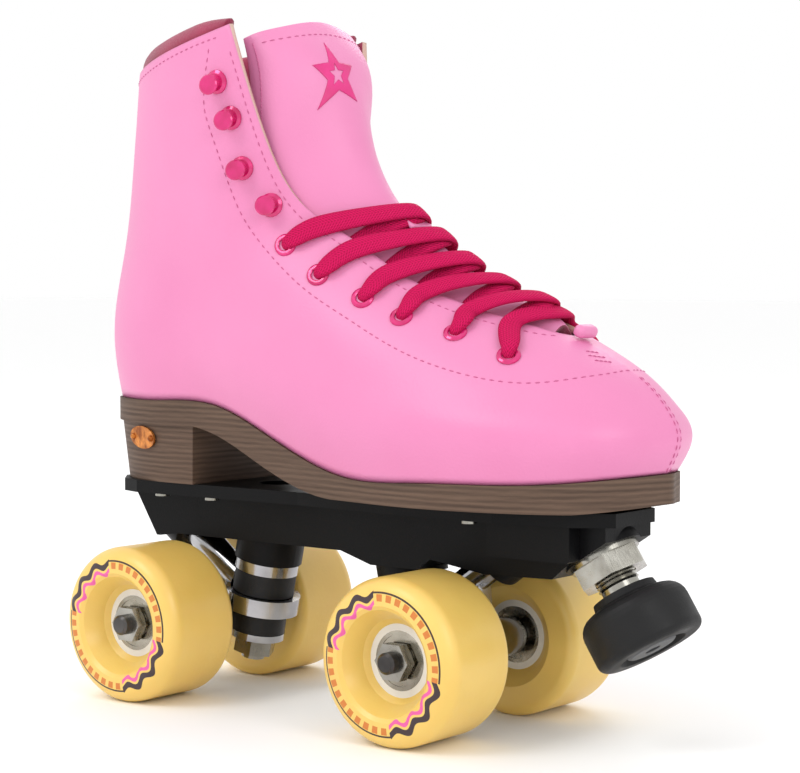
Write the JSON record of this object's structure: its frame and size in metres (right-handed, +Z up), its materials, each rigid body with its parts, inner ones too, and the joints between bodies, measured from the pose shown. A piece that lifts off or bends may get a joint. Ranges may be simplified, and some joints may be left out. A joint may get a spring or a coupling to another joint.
{
  "type": "quad roller skate",
  "caption": "High-top laced quad roller skate with padded collar, cast wheels, cushioned steering trucks and a threaded toe stop.",
  "frame": {"origin": "middle of the base of the skate's bounding box, on the floor under the wheels", "axes": "+X towards the toe, +Y towards the inner side of the foot, +Z up; -Y is the outer side of this right skate"},
  "size_m": [0.2788, 0.114, 0.27],
  "materials": {
    "wheel_tyre": "satin cast urethane",
    "wheel_hub": "satin moulded",
    "bearing_steel": "polished",
    "truck_metal": "polished",
    "axle_steel": "dark oiled",
    "zinc_hardware": "bright zinc",
    "black_rubber": "matte",
    "bright_cups": "polished",
    "chassis_nylon": "satin moulded",
    "stopper_rubber": "matte",
    "grey_cap": "matte",
    "pink_leather": "smooth semi-matte",
    "rose_lining": "soft padded",
    "sole_wood": "horizontal grain, satin",
    "bronze_badge": "satin",
    "tongue_leather": "smooth semi-matte",
    "magenta_enamel": "gloss",
    "lace_braid": "braided"
  },
  "bodies": {
    "boot": {"rear_upper_cushion": "black_rubber", "rear_lower_cushion": "black_rubber", "front_upper_cushion": "black_rubber", "front_lower_cushion": "black_rubber", "kingpin_top_washers": "bright_cups", "kingpin_bottom_washers": "bright_cups", "kingpins": "zinc_hardware", "kingpin_nuts": "zinc_hardware", "pivot_cups": "black_rubber", "chassis_plate": "chassis_nylon", "plate_screws": "zinc_hardware", "toe_stop_washer": "zinc_hardware", "toe_stop_lock_nut": "zinc_hardware", "upper_outer": "pink_leather", "upper_inner": "pink_leather", "collar_lining": "rose_lining", "outsole": "sole_wood", "heel_block": "sole_wood", "insole": "rose_lining", "heel_badge": "bronze_badge", "badge_rivets": "bronze_badge", "tongue": "tongue_leather", "eyelets_outer": "magenta_enamel", "eyelets_inner": "magenta_enamel", "hooks_outer": "magenta_enamel", "hooks_inner": "magenta_enamel", "lace": "lace_braid", "tongue_loop": "tongue_leather", "throat_tab": "tongue_leather"},
    "rear_truck": {"rear_hanger": "truck_metal", "rear_axle": "axle_steel", "rear_bearing_inner_rings": "bearing_steel", "rear_axle_spacers": "zinc_hardware", "rear_axle_nuts": "zinc_hardware"},
    "front_truck": {"front_hanger": "truck_metal", "front_axle": "axle_steel", "front_bearing_inner_rings": "bearing_steel", "front_axle_spacers": "zinc_hardware", "front_axle_nuts": "zinc_hardware"},
    "wheel_rear_outer": {"wheel_rear_outer_tyre": "wheel_tyre", "wheel_rear_outer_hub": "wheel_hub", "wheel_rear_outer_bearing_shells": "bearing_steel", "wheel_rear_outer_bearing_balls": "bearing_steel"},
    "wheel_rear_inner": {"wheel_rear_inner_tyre": "wheel_tyre", "wheel_rear_inner_hub": "wheel_hub", "wheel_rear_inner_bearing_shells": "bearing_steel", "wheel_rear_inner_bearing_balls": "bearing_steel"},
    "wheel_front_outer": {"wheel_front_outer_tyre": "wheel_tyre", "wheel_front_outer_hub": "wheel_hub", "wheel_front_outer_bearing_shells": "bearing_steel", "wheel_front_outer_bearing_balls": "bearing_steel"},
    "wheel_front_inner": {"wheel_front_inner_tyre": "wheel_tyre", "wheel_front_inner_hub": "wheel_hub", "wheel_front_inner_bearing_shells": "bearing_steel", "wheel_front_inner_bearing_balls": "bearing_steel"},
    "toe_stop": {"toe_stop_stem": "zinc_hardware", "toe_stop_rubber": "stopper_rubber", "toe_stop_cap": "grey_cap"}
  },
  "joints": [
    {"name": "rear_truck_lean", "type": "hinge", "parent": "boot", "child": "rear_truck", "pos_m": [-0.06245, 0, 0.0375], "axis": [-0.8131, 0, 0.5821], "range_deg": [-7, 7], "stiffness_Nm_per_rad": 12, "deforming": ["rear_upper_cushion", "rear_lower_cushion"]},
    {"name": "front_truck_lean", "type": "hinge", "parent": "boot", "child": "front_truck", "pos_m": [0.02005, 0, 0.0375], "axis": [0.8131, 0, 0.5821], "range_deg": [-7, 7], "stiffness_Nm_per_rad": 12, "deforming": ["front_upper_cushion", "front_lower_cushion"]},
    {"name": "wheel_rear_outer_spin", "type": "hinge", "parent": "rear_truck", "child": "wheel_rear_outer", "pos_m": [-0.08895, -0.0385, 0.031], "axis": [0, 1, 0], "continuous": true},
    {"name": "wheel_rear_inner_spin", "type": "hinge", "parent": "rear_truck", "child": "wheel_rear_inner", "pos_m": [-0.08895, 0.0385, 0.031], "axis": [0, 1, 0], "continuous": true},
    {"name": "wheel_front_outer_spin", "type": "hinge", "parent": "front_truck", "child": "wheel_front_outer", "pos_m": [0.04655, -0.0385, 0.031], "axis": [0, 1, 0], "continuous": true},
    {"name": "wheel_front_inner_spin", "type": "hinge", "parent": "front_truck", "child": "wheel_front_inner", "pos_m": [0.04655, 0.0385, 0.031], "axis": [0, 1, 0], "continuous": true},
    {"name": "toe_stop_set", "type": "slide", "parent": "boot", "child": "toe_stop", "axis": [0.5446, 0, -0.8387], "range_m": [-0.0045, 0.0045]}
  ]
}
